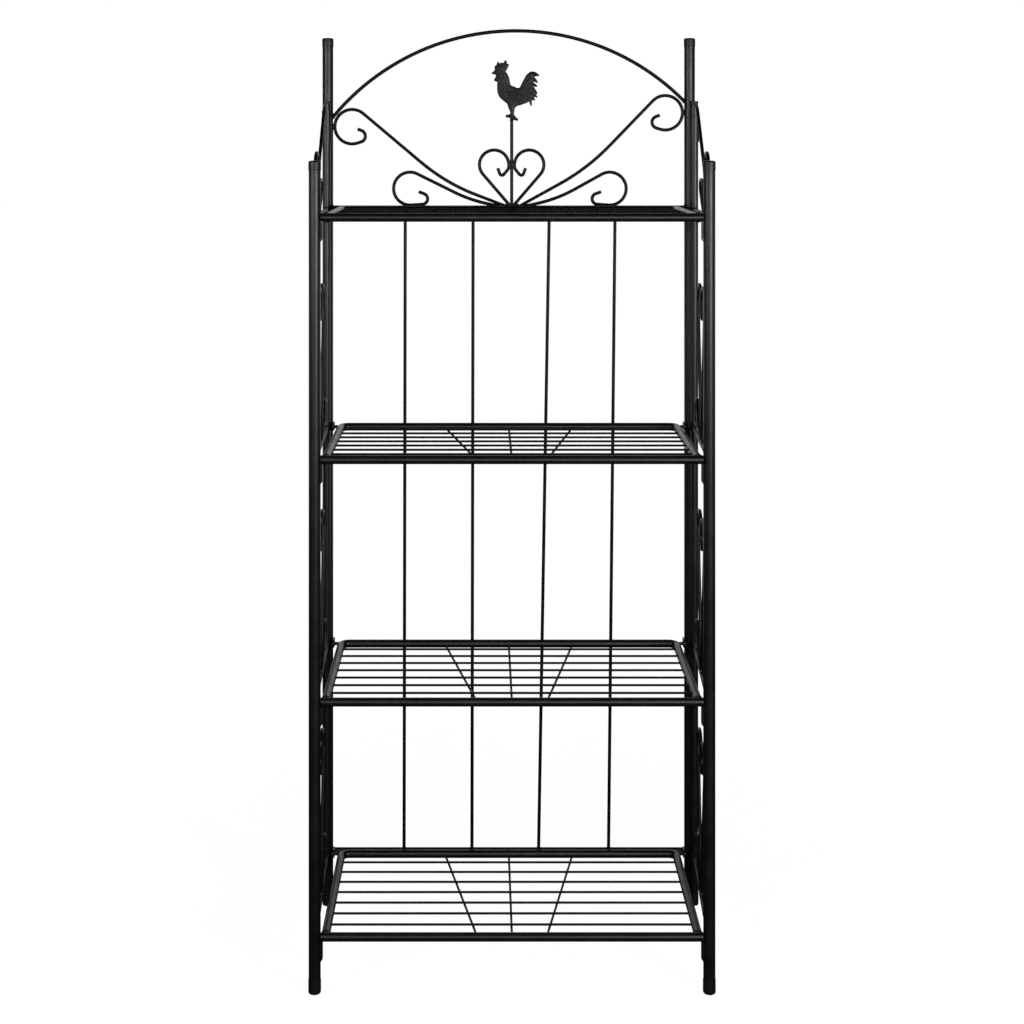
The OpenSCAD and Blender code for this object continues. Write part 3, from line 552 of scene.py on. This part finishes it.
# The rooster, a cast plate that swells to the middle, with raised feathers. Its outline starts at the left
# toe and goes up the breast. Places are in millimetres from where its feet meet the stem.
rooster = {
    "outline": [
        (-9, 4), (-7, 5.5), (-4.5, 6), (-2, 6.5), (-1, 10), (-3, 14.5), (-5, 19.5), (-6, 23.5), (-9.5, 26.5),
        (-15.5, 31.5), (-19, 35), (-21, 39), (-22.5, 44), (-23, 50), (-23, 56), (-22.5, 60), (-25, 61),
        (-28, 62.5), (-27.5, 65.5), (-26, 68), (-25, 70), (-25.5, 72), (-27, 73), (-31.5, 74), (-32.5, 75.5),
        (-30.5, 77), (-28, 79), (-27, 81), (-27, 84), (-27.5, 86), (-25.5, 88), (-23.5, 90), (-23, 93),
        (-21, 94.5), (-19, 92), (-17, 92), (-15.5, 93.5), (-13.5, 92), (-11.5, 93.5), (-10.5, 96),
        (-8.5, 96.5), (-6.5, 95), (-6.5, 91.5), (-3.5, 90.5), (-3, 89), (-4, 86), (-6, 82), (-8.5, 77.5),
        (-6.5, 75.5), (-4.5, 71.5), (-2.5, 67), (-1.5, 62), (-1, 58), (1, 54.5), (4, 53.5), (8.5, 51.5),
        (12, 50.5), (15, 51.5), (16.5, 55), (19, 59.5), (22, 65.5), (25.5, 71.5), (29, 75), (32.5, 77.5),
        (37.5, 78), (41.5, 77), (45, 74.5), (48, 71.5), (46.5, 70), (43, 70), (41, 69.5), (39.5, 68.5),
        (41.5, 66.5), (44, 63), (45.5, 60), (44.5, 58.5), (42, 59.5), (39.5, 60.5), (37.5, 60), (40.5, 58),
        (43, 56), (44.5, 53.5), (43, 52), (41, 52.5), (38.5, 52), (40.5, 49.5), (42.5, 46), (44.5, 42.5),
        (44, 40), (42.5, 39), (44.5, 36.5), (44.5, 34.5), (43, 34), (41, 35.5), (39.5, 33.5), (41, 30.5),
        (39, 29), (37, 30), (35.5, 30), (35.5, 25), (35, 21), (32.5, 21), (31.5, 24.5), (30.5, 27.5),
        (27, 25.5), (23, 24), (18, 22), (13.5, 21), (10, 19.5), (8, 18), (6.5, 15), (6, 10.5), (5.5, 7),
        (7.5, 3), (10, 0.5), (12.5, -1.5), (12, -4.5), (9.5, -4.5), (6.5, -3.5), (4.5, -3), (1.5, -3.5),
        (-1, -3), (-2, 0.5), (-4.5, 0.5), (-7.5, 1),
    ],
    # Feathers and other ridges: the points that they follow, half width, height
    "ridges": [
        ([(-15, 74), (-18, 62), (-17, 50)], 1.5, 0.5), ([(-11, 73), (-13, 60), (-11, 47)], 1.5, 0.5),
        ([(-8, 68), (-8, 57), (-4, 47)], 1.5, 0.5), ([(-20, 57), (-19, 46), (-13, 37)], 1.6, 0.4),
        ([(-6, 43), (7, 42), (23, 34)], 2.0, 0.7), ([(-5, 38), (7, 36), (20, 29)], 1.9, 0.7),
        ([(-2, 33), (7, 31), (16, 26)], 1.8, 0.6), ([(-8, 40), (-9, 35), (-4, 30)], 1.5, 0.5),
        ([(18, 54), (25, 66), (33, 74), (40, 74), (46, 71)], 1.4, 0.6),
        ([(21, 51), (28, 61), (35, 67), (41, 64), (44, 60)], 1.4, 0.6),
        ([(24, 48), (31, 56), (38, 57), (43, 54)], 1.4, 0.6),
        ([(26, 44), (33, 50), (40, 46), (43, 42)], 1.5, 0.6),
        ([(26, 39), (34, 42), (41, 37), (44, 35)], 1.4, 0.6), ([(25, 34), (33, 35), (39, 31)], 1.4, 0.5),
        ([(28, 31), (33, 28), (34, 22)], 1.2, 0.5), ([(-25, 87), (-16, 90), (-7, 90)], 1.5, 0.5),
        ([(-31, 75.5), (-27, 76)], 1.0, 0.4), ([(-26, 64), (-23, 67)], 1.6, 0.5),
        ([(0, 24), (2, 14), (3, 7)], 1.6, 0.5), ([(-8, 3), (-2, 4), (2, 2)], 1.2, 0.4),
        ([(3, 2), (8, 0), (11, -3)], 1.2, 0.4), ([(-21, 82), (-21, 82.1)], 1.3, 0.7),
    ],
    # Half the plate's thickness at its edge, how it swells inwards, and how its feathers fade at the edge
    "half": 1.0, "swell": 1.1, "swellReach": 4.0, "featherHeight": 0.5, "featherFade": 0.8,
    "reliefSpare": 0.4, "cuts": 3, "voxel": 0.55, "softenShare": 0.5, "softenSteps": 3, "offsetX": -1.5,
}


def roundedLoop(points, cuts):  # a smooth closed line through given points
    loop = []
    count = len(points)
    for i in range(count):
        before, here, after, beyond = (Vector(points[(i + k) % count]) for k in (-1, 0, 1, 2))
        for step in range(cuts):
            t = step / cuts
            pull = (after - before) * 0.5
            ease = (beyond - here) * 0.5
            loop.append(here * (2 * t**3 - 3 * t**2 + 1) + pull * (t**3 - 2 * t**2 + t)
                        + after * (3 * t**2 - 2 * t**3) + ease * (t**3 - t**2))
    return loop


def reach(point, start, end):  # distance from a point to a stretch of a line
    along = end - start
    share = max(0, min(1, (point - start).dot(along) / max(along.length_squared, 1e-9)))
    return (point - start - along * share).length


def makeRooster(look):
    loop = roundedLoop(look["outline"], look["cuts"])
    bpy.ops.mesh.primitive_circle_add(vertices=len(loop), fill_type="NOTHING")
    plate = bpy.context.object
    plate.name = "roosterPlate"
    for vertex, point in zip(plate.data.vertices, loop):
        vertex.co = (point.x * mm, look["half"] * mm, point.y * mm)
    openMesh(plate)
    bpy.ops.mesh.select_mode(type="VERT")
    bpy.ops.mesh.select_all(action="SELECT")
    bpy.ops.mesh.edge_face_add()
    bpy.ops.mesh.extrude_region_move(TRANSFORM_OT_translate={"value": (0, -2 * look["half"] * mm, 0)})
    bpy.ops.mesh.select_all(action="SELECT")
    bpy.ops.mesh.normals_make_consistent(inside=False)
    closeMesh()
    remesh = plate.modifiers.new("fineSkin", "REMESH")
    remesh.mode = "VOXEL"
    remesh.voxel_size = look["voxel"] * mm
    bpy.ops.object.modifier_apply(modifier="fineSkin")
    soften = plate.modifiers.new("softEdges", "SMOOTH")
    soften.factor = look["softenShare"]
    soften.iterations = look["softenSteps"]
    bpy.ops.object.modifier_apply(modifier="softEdges")
    heights = []
    for vertex in plate.data.vertices:
        point = Vector((vertex.co.x, vertex.co.z)) / mm
        edge = min(reach(point, loop[i - 1], loop[i]) for i in range(len(loop)))
        height = look["swell"] * (1 - math.exp(-edge / look["swellReach"]))
        fade = min(1, edge / look["featherFade"])
        for line, halfWidth, rise in look["ridges"]:
            near = min(reach(point, Vector(line[i]), Vector(line[i + 1])) for i in range(len(line) - 1))
            if near < halfWidth:
                height += look["featherHeight"] * rise * (1 - (near / halfWidth) ** 2) ** 2 * fade
        vertex.co.y *= 1 + height / look["half"]
        heights.append(height / (look["swell"] + look["reliefSpare"]))
    relief = plate.data.attributes.new("relief", "FLOAT", "POINT")
    relief.data.foreach_set("value", heights)
    place = (rack["crestMid"] + look["offsetX"] * mm, rack["backY"], rack["stemTop"])
    plate.data.transform(Matrix.Translation(place))
    return plate


roosterPlate = makeRooster(rooster)
smoothed(roosterPlate, creaseFrom["plate"])
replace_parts(finished(roosterPlate, "back_panel", ornamentCoat), "rooster")
print("rooster made:", len(roosterPlate.data.polygons), "faces")

# Weld beads: lumpy rings round the wires' ends, and blobs where wires touch. Millimetres; a ring has the
# radius that it goes round and its own thickness.
bead = {
    "around": {
        "rod": (2.75, 0.9), "bar": (5.0, 1.2), "crossbar": (4.0, 1.1), "rail": (6.5, 1.3),
        "wire": (1.75, 0.6), "pin": (2.75, 0.7), "scroll": (2.75, 0.9), "arch": (3.0, 1.1),
    },
    "standOff": 0.15, "ringSides": 18, "sectionSides": 6, "ringLumps": 0.16,
    "blobSides": 12, "blobRows": 8, "blobLumps": 0.128, "blobSeed": 7, "spin": 2.4,
    "seamPitch": 1.3, "seamStretch": 1.1,
}


def ringBead(kind, look):
    radius, thick = look["around"][kind]
    bpy.ops.mesh.primitive_torus_add(
        major_radius=(radius + look["standOff"] * thick) * mm, minor_radius=thick * mm,
        major_segments=look["ringSides"], minor_segments=look["sectionSides"],
    )
    ring = bpy.context.object
    openMesh(ring)
    bpy.ops.mesh.select_all(action="SELECT")
    offset = look["ringLumps"] * thick * mm
    bpy.ops.transform.vertex_random(offset=offset, uniform=0.0, normal=1.0, seed=len(kind))
    closeMesh()
    return ring


def blobBead(look):
    bpy.ops.mesh.primitive_uv_sphere_add(segments=look["blobSides"], ring_count=look["blobRows"], radius=mm)
    blob = bpy.context.object
    openMesh(blob)
    bpy.ops.mesh.select_all(action="SELECT")
    offset = look["blobLumps"] * mm
    bpy.ops.transform.vertex_random(offset=offset, uniform=0.0, normal=1.0, seed=look["blobSeed"])
    closeMesh()
    return blob


rings = {kind: ringBead(kind, bead) for kind in bead["around"]}
blob = blobBead(bead)
beadsLaid = [0]


def nextSpin():  # no two beads in a row show the same lumps
    beadsLaid[0] += 1
    return Matrix.Rotation(bead["spin"] * beadsLaid[0], 4, "Z")


def facing(along):
    return Vector(along).to_track_quat("Z", "Y").to_matrix().to_4x4()


def ringAt(kind, place, along):
    return copyOf(rings[kind], Matrix.Translation(place) @ facing(along) @ nextSpin())


def blobAt(place, size, along=upwards):  # half sizes in millimetres, the last one along the seam
    shape = Matrix.Diagonal((*size, 1)) @ nextSpin()
    return copyOf(blob, Matrix.Translation(place) @ facing(along) @ shape)


def seamAt(start, end, thick):  # a row of blobs that run into each other
    start, end = Vector(start), Vector(end)
    count = max(2, round((end - start).length / (bead["seamPitch"] * thick * mm)))
    size = (thick, thick, thick * bead["seamStretch"])
    return [blobAt(start.lerp(end, i / (count - 1)), size, end - start) for i in range(count)]


# The back panel's welds. "at", "tops" and "feet" are places along x, the crest's feet with their blobs' half
# lengths. "ends" have their side, their height above the top bar and a ring's way. "sink" is how far into the
# post or bar, "proud" how far out of it, "off" how far from the wires' middle. Blobs and beads are in
# millimetres.
backWelds = {
    "rods": {
        "tops": (-0.173, -0.0595, 0.068, 0.178), "feet": (-0.175, -0.0615, 0.050, 0.167), "sink": 0.4 * mm,
    },
    "barProud": 0.2 * mm, "stemDrop": 3.5 * mm,
    "arch": {
        "ends": ((-1, 147.8 * mm, (0.636, 0, 0.771)), (1, 174 * mm, (-0.702, 0, 0.712))), "sink": 0.4 * mm,
    },
    "longScroll": {
        "ends": ((-1, 131.6 * mm), (1, 154.9 * mm)), "proud": 0.2 * mm,
        "off": 1.6 * mm, "blob": (1.3, 1.3, 4.5),
    },
    "lowScroll": {"at": (-0.165, 0.169), "off": 1.7 * mm, "blob": (1.2, 1.2, 4.0)},
    "crestFeet": {
        "at": ((-0.016, 5.0), (-0.004, 3.5), (0.0025, 3.0), (0.0085, 3.0), (0.0145, 4.0), (0.0265, 5.0)),
        "up": 0.4 * mm, "thick": (1.7, 2.7),
    },
    "heart": {"out": 2.5 * mm, "up": 68 * mm, "off": 1.7 * mm, "blob": (1.3, 1.2, 3.6)},
    "sleeve": {
        "tall": 52 * mm, "drops": (1 * mm, 42 * mm), "long": 9 * mm, "off": 3.1 * mm, "bead": 1.2,
    },
    "ear": {"sink": 0.3 * mm, "forward": 4.2 * mm, "half": 5.5 * mm, "bead": 0.9},
}


def pairAt(x, y, z, off, size, along=upwards):  # a blob before the wires and one behind them
    return [blobAt((x, y + d * off, z), size, along) for d in bothWays]


def sleeveSeams(side, at):
    post = rack["backPosts"][side]
    way = (rack["stiles"][side] - post).normalized()
    across = Vector((-way.y, way.x, 0))
    made = []
    for top in (rack["sleeveZ"][1], rack["sleeveZ"][0] + at["tall"]):
        for drop in at["drops"]:
            for d in bothWays:
                end = post + way * rack["postRadius"] + across * d * at["off"] + Vector((0, 0, top - drop))
                made += seamAt(end - Vector((0, 0, at["long"])), end, at["bead"])
    return made


def earSeams(side, at):
    x, y = sides[side] * (rack["innerX"] + at["sink"]), rack["backY"] - at["forward"]
    made = []
    for z in rack["levels"]:
        made += seamAt((x, y, z - at["half"]), (x, y, z + at["half"]), at["bead"])
    return made


def backPanelWelds(at):
    y, foot, mid, inner = rack["backY"], rack["crestFoot"], rack["crestMid"], rack["innerX"]
    rods, arch, long, low = at["rods"], at["arch"], at["longScroll"], at["lowScroll"]
    feet, heart, barEnd = at["crestFeet"], at["heart"], inner - at["barProud"]
    made = [ringAt("rod", (x, y, rack["rodTop"] + rods["sink"]), upwards) for x in rods["tops"]]
    made += [ringAt("rod", (x, y, rack["rodFoot"] - rods["sink"]), upwards) for x in rods["feet"]]
    made += [ringAt("bar", (sign * barEnd, y, z), sideways) for sign in bothWays for z in rack["barZ"]]
    for sign, up, way in arch["ends"]:
        made.append(ringAt("arch", (sign * (inner + arch["sink"]), y, foot + up), way))
    for sign, up in long["ends"]:
        made += pairAt(sign * (inner - long["proud"]), y, foot + up, long["off"], long["blob"])
    for x in low["at"]:
        made += pairAt(x, y, foot, low["off"], low["blob"], sideways)
    for x, half in feet["at"]:
        made.append(blobAt((x, y, foot + feet["up"]), (*feet["thick"], half), sideways))
    for sign in bothWays:
        made += pairAt(mid + sign * heart["out"], y, foot + heart["up"], heart["off"], heart["blob"])
    made.append(ringAt("scroll", (mid, y, rack["stemTop"] - at["stemDrop"]), upwards))
    for side in sides:
        made += sleeveSeams(side, at["sleeve"])
        made += earSeams(side, at["ear"])
    return made


def inPanel(side, back, z):  # a place in a side panel, from the distance behind its front post
    start, end = rack["frontPosts"][side], rack["stiles"][side]
    spot = start + (end - start).normalized() * back
    return Vector((spot.x, spot.y, z))


# A side panel's welds. "back" is behind the front post's middle, "in" before the stile's middle or beside the
# post's, "out" from the panel's middle, "up" above the shelf's level, "drop" below the stile's top.
sideWelds = {
    "crossbar": {"back": 9.1 * mm, "in": 6.5 * mm},
    "bracket": {"in": 8.6 * mm, "off": 3.2 * mm, "from": 29 * mm, "to": 9 * mm, "bead": 0.8},
    "heartTop": {"up": 217 * mm, "off": 1.8 * mm, "blob": (1.5, 1.2, 3.6)},
    "heartFoot": {"out": 3 * mm, "up": 4.2 * mm, "blob": (2.6, 1.5, 3.5)},
    "scrollFoot": {"out": 14 * mm, "up": 4.6 * mm, "blob": (2.2, 1.4, 4.5)},
    "topScrollFront": {"back": 9.2 * mm, "up": 66 * mm, "off": 1.7 * mm, "blob": (1.3, 1.3, 4.2)},
    "topScrollRear": {"in": 6.6 * mm, "drop": 5.5 * mm, "blob": (2.8, 1.5, 3.0)},
    "leaf": {"back": 97 * mm, "up": 4.2 * mm, "blob": (2.6, 1.5, 4.5)},
}


def sidePanelWelds(side, at):
    post = rack["frontPosts"][side]
    run = (rack["stiles"][side] - post).normalized()
    width = (rack["stiles"][side] - post).length
    out = Vector((run.y, -run.x, 0))
    bar, bracket, top = at["crossbar"], at["bracket"], at["heartTop"]
    front, rear, leaf = at["topScrollFront"], at["topScrollRear"], at["leaf"]
    made = []
    for z in rack["levels"]:
        made.append(ringAt("crossbar", inPanel(side, bar["back"], z), run))
        made.append(ringAt("crossbar", inPanel(side, width - bar["in"], z), run))
        x = post.x - sides[side] * bracket["in"]
        for d in bothWays:
            y = post.y + d * bracket["off"]
            made += seamAt((x, y, z - bracket["from"]), (x, y, z - bracket["to"]), bracket["bead"])
    for z in rack["levels"][1:]:
        for d in bothWays:
            place = inPanel(side, width / 2, z + top["up"]) + out * d * top["off"]
            made.append(blobAt(place, top["blob"]))
            for foot in (at["heartFoot"], at["scrollFoot"]):
                place = inPanel(side, width / 2 + d * foot["out"], z + foot["up"])
                made.append(blobAt(place, foot["blob"], run))
    for d in bothWays:
        place = inPanel(side, front["back"], rack["levels"][0] + front["up"]) + out * d * front["off"]
        made.append(blobAt(place, front["blob"]))
    made.append(blobAt(inPanel(side, width - rear["in"], rack["stileTop"] - rear["drop"]), rear["blob"]))
    made.append(blobAt(inPanel(side, leaf["back"], rack["levels"][0] + leaf["up"]), leaf["blob"], run))
    return made


# A shelf's welds: front corners, pins, ends of the long and fanned wires, and where those cross. "pinOut" and
# "wireIn" are from the middle of a rail.
shelfBeads = {
    "cornerBack": 6.0 * mm, "pinOut": 1.9 * mm, "longWires": 7, "wireIn": 6.2 * mm, "wireLift": 1.55 * mm,
    "fanFrontX": 0.051, "fanBackX": 0.106, "crossing": (1.9, 1.9, 0.7),
}


def shelfWelds(z, at):
    front, back = rack["frontY"], rack["pivotY"]
    depth = back - front
    bays = at["longWires"] + 1
    made = []
    for sign in bothWays:
        made.append(ringAt("rail", (sign * rack["sideRailX"], front + at["cornerBack"], z), rearwards))
        made.append(ringAt("pin", (sign * (rack["sideRailX"] + at["pinOut"]), back, z), sideways))
        x = sign * (rack["sideRailX"] - at["wireIn"])
        for i in range(1, bays):
            place = (x, front + i * depth / bays, z + at["wireLift"])
            made.append(ringAt("wire", place, sideways))
    for fan in (-1, 0, 1):
        start = Vector((fan * at["fanFrontX"], front, z - at["wireLift"]))
        end = Vector((fan * at["fanBackX"], back, z - at["wireLift"]))
        share = at["wireIn"] / depth
        made += [ringAt("wire", start.lerp(end, t), end - start) for t in (share, 1 - share)]
        for i in range(1, bays):
            place = start.lerp(end, i / bays)
            made.append(blobAt((place.x, place.y, z), at["crossing"]))
    return made


panelWelds = joined(backPanelWelds(backWelds), "backPanelWelds")
weldsMade = [finished(panelWelds, "back_panel", weldCoat)]
for side in sides:
    panelWelds = joined(sidePanelWelds(side, sideWelds), side + "PanelWelds")
    weldsMade.append(finished(panelWelds, "side_panel_" + side, weldCoat))
firstShelf = joined(shelfWelds(rack["levels"][0], shelfBeads), "shelf1Welds")
for n, level in enumerate(rack["levels"]):
    piece = firstShelf if n == 0 else copyAt(firstShelf, 0, 0, level - rack["levels"][0])
    piece.name = "shelf%dWelds" % (n + 1)
    weldsMade.append(finished(piece, "shelf_%d" % (n + 1), weldCoat))
for piece in weldsMade:
    smoothed(piece, creaseFrom["bead"])
discard(blob, *rings.values())
print("welds made:", sum(len(piece.data.polygons) for piece in weldsMade), "faces")

# Two fine rings pressed into each post below its cap
pressedRings = {
    "radius": 8.95 * mm, "thick": 0.22 * mm, "below": (17.5 * mm, 19.8 * mm), "sides": 48, "sectionSides": 8,
}


def pressedRing(size, x, y, z):
    bpy.ops.mesh.primitive_torus_add(
        major_radius=size["radius"], minor_radius=size["thick"],
        major_segments=size["sides"], minor_segments=size["sectionSides"], location=(x, y, z),
    )
    ring = bpy.context.object
    settle(ring)
    return ring


ringPlaces = {"back_panel": [(x, y, rack["backTop"]) for x, y in backPosts]}
for side in sides:
    ringPlaces["side_panel_" + side] = [(*rack["frontPosts"][side].xy, rack["frontTop"])]
for body, places in ringPlaces.items():
    ringsHere = [pressedRing(pressedRings, x, y, top - drop)
                 for x, y, top in places for drop in pressedRings["below"]]
    piece = finished(joined(ringsHere, body + "PressedRings"), body, tubeCoat)
    smoothed(piece, creaseFrom["ring"])
print("pressed rings made")

# A white floor and background, and soft lamps that leave the black steel black. Polished steel sees the
# white where it stands, behind the rack, and otherwise a dark room with the lamps in it.
studio = {
    "floorSize": 60, "floorGlowNear": 0.975, "floorGlowFar": 1.0, "nearTo": 0.5, "farFrom": 1.6,
    "floorGrey": 0.08, "airLight": 0.012, "floorBehind": (1.5, 3.0), "backdropBehind": (0.70, 0.92),
}


def whiteShare(tree, depth, behind):
    split = tree.nodes.new("ShaderNodeSeparateXYZ")
    tree.links.new(depth, split.inputs[0])
    rays = tree.nodes.new("ShaderNodeLightPath").outputs
    straight = mathNode(tree, "MAXIMUM", rays["Is Camera Ray"], rays["Is Transmission Ray"])
    atBack = rangeNode(tree, split.outputs["Y"], *behind, 0, 1)
    glossy = mathNode(tree, "MULTIPLY", rays["Is Glossy Ray"], atBack)
    return mathNode(tree, "MAXIMUM", straight, glossy)


bpy.ops.mesh.primitive_plane_add(size=studio["floorSize"], location=(0, 0, 0))
floor = bpy.context.object
floor.name = "studioFloor"
floorPaint = bpy.data.materials.new("floorPaint")
floorPaint.use_nodes = True
tree = floorPaint.node_tree
tree.nodes.clear()
output = tree.nodes.new("ShaderNodeOutputMaterial")
place = tree.nodes.new("ShaderNodeTexCoord").outputs["Object"]
away = tree.nodes.new("ShaderNodeVectorMath")
away.operation = "LENGTH"
tree.links.new(place, away.inputs[0])
glow = tree.nodes.new("ShaderNodeEmission")
tree.links.new(rangeNode(tree, away.outputs["Value"], studio["nearTo"], studio["farFrom"],
                         studio["floorGlowNear"], studio["floorGlowFar"]), glow.inputs["Strength"])
matt = tree.nodes.new("ShaderNodeBsdfDiffuse")
matt.inputs["Color"].default_value = (studio["floorGrey"],) * 3 + (1,)
both = tree.nodes.new("ShaderNodeAddShader")
tree.links.new(glow.outputs[0], both.inputs[0])
tree.links.new(matt.outputs[0], both.inputs[1])
chosen = tree.nodes.new("ShaderNodeMixShader")
tree.links.new(whiteShare(tree, place, studio["floorBehind"]), chosen.inputs[0])
tree.links.new(matt.outputs[0], chosen.inputs[1])
tree.links.new(both.outputs[0], chosen.inputs[2])
tree.links.new(chosen.outputs[0], output.inputs["Surface"])
floor.data.materials.append(floorPaint)

world = bpy.data.worlds.new("studioAir")
bpy.context.scene.world = world
world.use_nodes = True
tree = world.node_tree
back = tree.nodes["Background"]
back.inputs["Color"].default_value = (1, 1, 1, 1)
direction = tree.nodes.new("ShaderNodeTexCoord").outputs["Generated"]
tree.links.new(rangeNode(tree, whiteShare(tree, direction, studio["backdropBehind"]), 0, 1,
                         studio["airLight"], 1.0), back.inputs["Strength"])

lamps = {
    "rightSoftbox": {
        "place": (1.45, -1.85, 1.20), "aim": (0.2, 0, 1.15), "wide": 0.5, "tall": 0.6, "power": 26,
    },
    "leftSoftbox": {
        "place": (-1.50, -1.35, 1.45), "aim": (-0.2, 0, 1.3), "wide": 0.4, "tall": 0.6, "power": 12,
    },
    "frontSoftbox": {
        "place": (0.85, -3.10, 1.10), "aim": (0, 0, 1.0), "wide": 0.45, "tall": 0.6, "power": 11,
    },
    "frontStrip": {
        "place": (-0.1, -2.60, 1.25), "aim": (0, 0, 1.2), "wide": 3.4, "tall": 0.5, "power": 19,
    },
}
for name, lamp in lamps.items():
    way = Vector(lamp["aim"]) - Vector(lamp["place"])
    turned = way.to_track_quat("-Z", "Y").to_euler()
    bpy.ops.object.light_add(type="AREA", location=lamp["place"], rotation=turned)
    light = bpy.context.object
    light.name = name
    light.data.shape = "RECTANGLE"
    light.data.size = lamp["wide"]
    light.data.size_y = lamp["tall"]
    light.data.energy = lamp["power"]
    light.visible_camera = False
print("studio lit")
